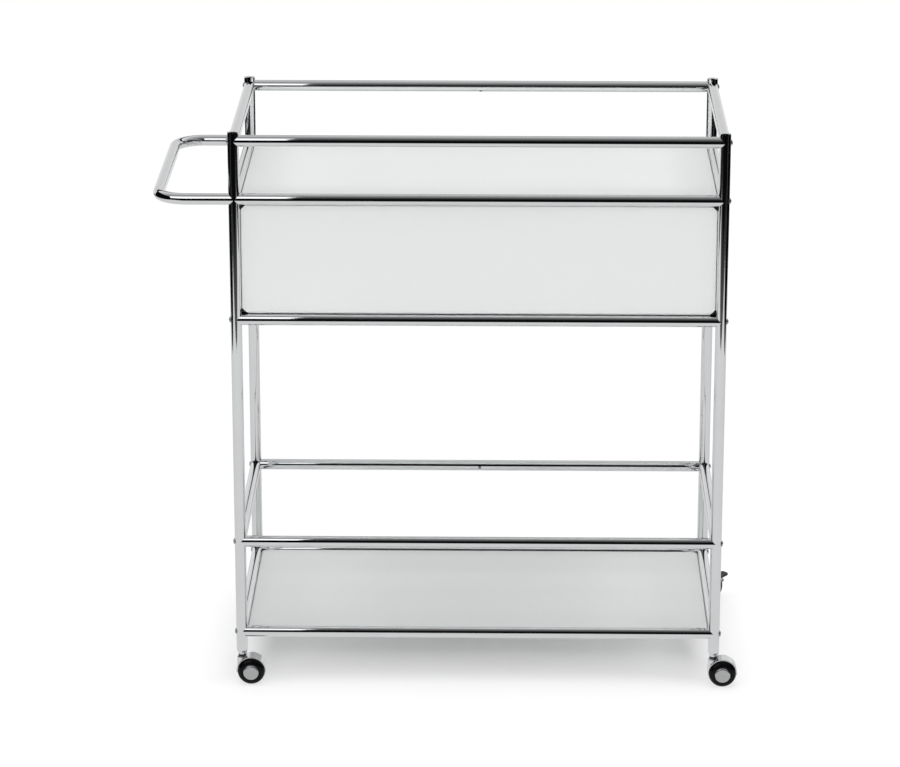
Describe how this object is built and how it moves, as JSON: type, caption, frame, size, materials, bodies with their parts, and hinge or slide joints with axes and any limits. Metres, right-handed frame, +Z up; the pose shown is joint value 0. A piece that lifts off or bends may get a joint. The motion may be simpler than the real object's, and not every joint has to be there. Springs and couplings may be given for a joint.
{
  "type": "bar cart",
  "caption": "Wheeled bar cart: chromed tube frame with gallery rails, top tray, closed bay behind a drop-down flap, bottom shelf, side handle and twin-wheel casters.",
  "frame": {"origin": "on the floor, under the middle of the cart's bounding box, handle and brake pedals included", "axes": "+X along the cart away from the handle, +Y from the front to the back, +Z up"},
  "size_m": [0.9366, 0.4422, 0.9141],
  "materials": {
    "chrome_tube": "polished",
    "chrome_trim": "polished",
    "caster_chrome": "polished",
    "bolt_steel": "satin",
    "panel_paint": "satin powder coat",
    "black_plastic": "fine grain",
    "wheel_black": "gloss",
    "cap_grey": "satin"
  },
  "bodies": {
    "frame": {"post_front_left": "chrome_tube", "post_front_right": "chrome_tube", "post_back_left": "chrome_tube", "post_back_right": "chrome_tube", "front_shelf_rail": "chrome_tube", "front_guard_rail": "chrome_tube", "front_bay_rail": "chrome_tube", "front_tray_rail": "chrome_tube", "front_gallery_rail": "chrome_tube", "back_shelf_rail": "chrome_tube", "back_guard_rail": "chrome_tube", "back_bay_rail": "chrome_tube", "back_tray_rail": "chrome_tube", "back_gallery_rail": "chrome_tube", "left_side_rails": "chrome_tube", "right_side_rails": "chrome_tube", "handle": "chrome_tube", "post_caps": "chrome_trim", "frame_bolts": "bolt_steel", "rail_inserts": "bolt_steel", "top_tray": "panel_paint", "bay_floor": "panel_paint", "bottom_shelf": "panel_paint", "back_panel": "panel_paint", "side_panels": "panel_paint", "panel_clips": "black_plastic", "flap_pivots": "black_plastic", "latch_housings": "black_plastic", "caster_adapters": "chrome_trim", "neck_rings": "black_plastic", "caster_stems": "bolt_steel"},
    "flap": {"front_flap": "panel_paint", "flap_pins": "bolt_steel"},
    "latch": {"latch_plungers": "bolt_steel"},
    "caster_front_left": {"caster_hood_front_left": "caster_chrome", "caster_axle_front_left": "bolt_steel"},
    "wheel_front_left_front": {"caster_wheel_front_left_front": "wheel_black", "wheel_cap_front_left_front": "cap_grey"},
    "wheel_front_left_back": {"caster_wheel_front_left_back": "wheel_black", "wheel_cap_front_left_back": "cap_grey"},
    "caster_front_right": {"caster_hood_front_right": "caster_chrome", "caster_axle_front_right": "bolt_steel"},
    "wheel_front_right_front": {"caster_wheel_front_right_front": "wheel_black", "wheel_cap_front_right_front": "cap_grey"},
    "wheel_front_right_back": {"caster_wheel_front_right_back": "wheel_black", "wheel_cap_front_right_back": "cap_grey"},
    "caster_back_left": {"caster_hood_back_left": "caster_chrome", "caster_axle_back_left": "bolt_steel"},
    "wheel_back_left_front": {"caster_wheel_back_left_front": "wheel_black", "wheel_cap_back_left_front": "cap_grey"},
    "wheel_back_left_back": {"caster_wheel_back_left_back": "wheel_black", "wheel_cap_back_left_back": "cap_grey"},
    "pedal_left": {"brake_pedal_left": "black_plastic"},
    "caster_back_right": {"caster_hood_back_right": "caster_chrome", "caster_axle_back_right": "bolt_steel"},
    "wheel_back_right_front": {"caster_wheel_back_right_front": "wheel_black", "wheel_cap_back_right_front": "cap_grey"},
    "wheel_back_right_back": {"caster_wheel_back_right_back": "wheel_black", "wheel_cap_back_right_back": "cap_grey"},
    "pedal_right": {"brake_pedal_right": "black_plastic"}
  },
  "joints": [
    {"name": "flap_hinge", "type": "hinge", "parent": "frame", "child": "flap", "pos_m": [0.04166, -0.1967, 0.6256], "axis": [1, 0, 0], "range_deg": [0, 90]},
    {"name": "latch_travel", "type": "slide", "parent": "frame", "child": "latch", "axis": [0, -1, 0], "range_m": [0, 0.004]},
    {"name": "caster_swivel_front_left", "type": "hinge", "parent": "frame", "child": "caster_front_left", "pos_m": [-0.33834, -0.1997, 0.044], "axis": [0, 0, 1], "continuous": true},
    {"name": "wheel_spin_front_left_front", "type": "hinge", "parent": "caster_front_left", "child": "wheel_front_left_front", "pos_m": [-0.32384, -0.2125, 0.022], "axis": [0, 1, 0], "continuous": true},
    {"name": "wheel_spin_front_left_back", "type": "hinge", "parent": "caster_front_left", "child": "wheel_front_left_back", "pos_m": [-0.32384, -0.1869, 0.022], "axis": [0, 1, 0], "continuous": true},
    {"name": "caster_swivel_front_right", "type": "hinge", "parent": "frame", "child": "caster_front_right", "pos_m": [0.42166, -0.1997, 0.044], "axis": [0, 0, 1], "continuous": true},
    {"name": "wheel_spin_front_right_front", "type": "hinge", "parent": "caster_front_right", "child": "wheel_front_right_front", "pos_m": [0.43616, -0.2125, 0.022], "axis": [0, 1, 0], "continuous": true},
    {"name": "wheel_spin_front_right_back", "type": "hinge", "parent": "caster_front_right", "child": "wheel_front_right_back", "pos_m": [0.43616, -0.1869, 0.022], "axis": [0, 1, 0], "continuous": true},
    {"name": "caster_swivel_back_left", "type": "hinge", "parent": "frame", "child": "caster_back_left", "pos_m": [-0.33834, 0.1803, 0.044], "axis": [0, 0, 1], "continuous": true},
    {"name": "wheel_spin_back_left_front", "type": "hinge", "parent": "caster_back_left", "child": "wheel_back_left_front", "pos_m": [-0.32384, 0.1675, 0.022], "axis": [0, 1, 0], "continuous": true},
    {"name": "wheel_spin_back_left_back", "type": "hinge", "parent": "caster_back_left", "child": "wheel_back_left_back", "pos_m": [-0.32384, 0.1931, 0.022], "axis": [0, 1, 0], "continuous": true},
    {"name": "brake_left", "type": "hinge", "parent": "caster_back_left", "child": "pedal_left", "pos_m": [-0.29944, 0.1803, 0.029], "axis": [0, 1, 0], "range_deg": [0, 8]},
    {"name": "caster_swivel_back_right", "type": "hinge", "parent": "frame", "child": "caster_back_right", "pos_m": [0.42166, 0.1803, 0.044], "axis": [0, 0, 1], "continuous": true},
    {"name": "wheel_spin_back_right_front", "type": "hinge", "parent": "caster_back_right", "child": "wheel_back_right_front", "pos_m": [0.44099, 0.17982, 0.022], "axis": [-0.6428, 0.766, 0], "continuous": true},
    {"name": "wheel_spin_back_right_back", "type": "hinge", "parent": "caster_back_right", "child": "wheel_back_right_back", "pos_m": [0.42454, 0.19943, 0.022], "axis": [-0.6428, 0.766, 0], "continuous": true},
    {"name": "brake_right", "type": "hinge", "parent": "caster_back_right", "child": "pedal_right", "pos_m": [0.45145, 0.20531, 0.029], "axis": [-0.6428, 0.766, 0], "range_deg": [0, 8]}
  ],
  "couplings": [
    {"joint": "latch_travel", "follows": "flap_hinge", "m_per_rad": 0.0025465}
  ]
}
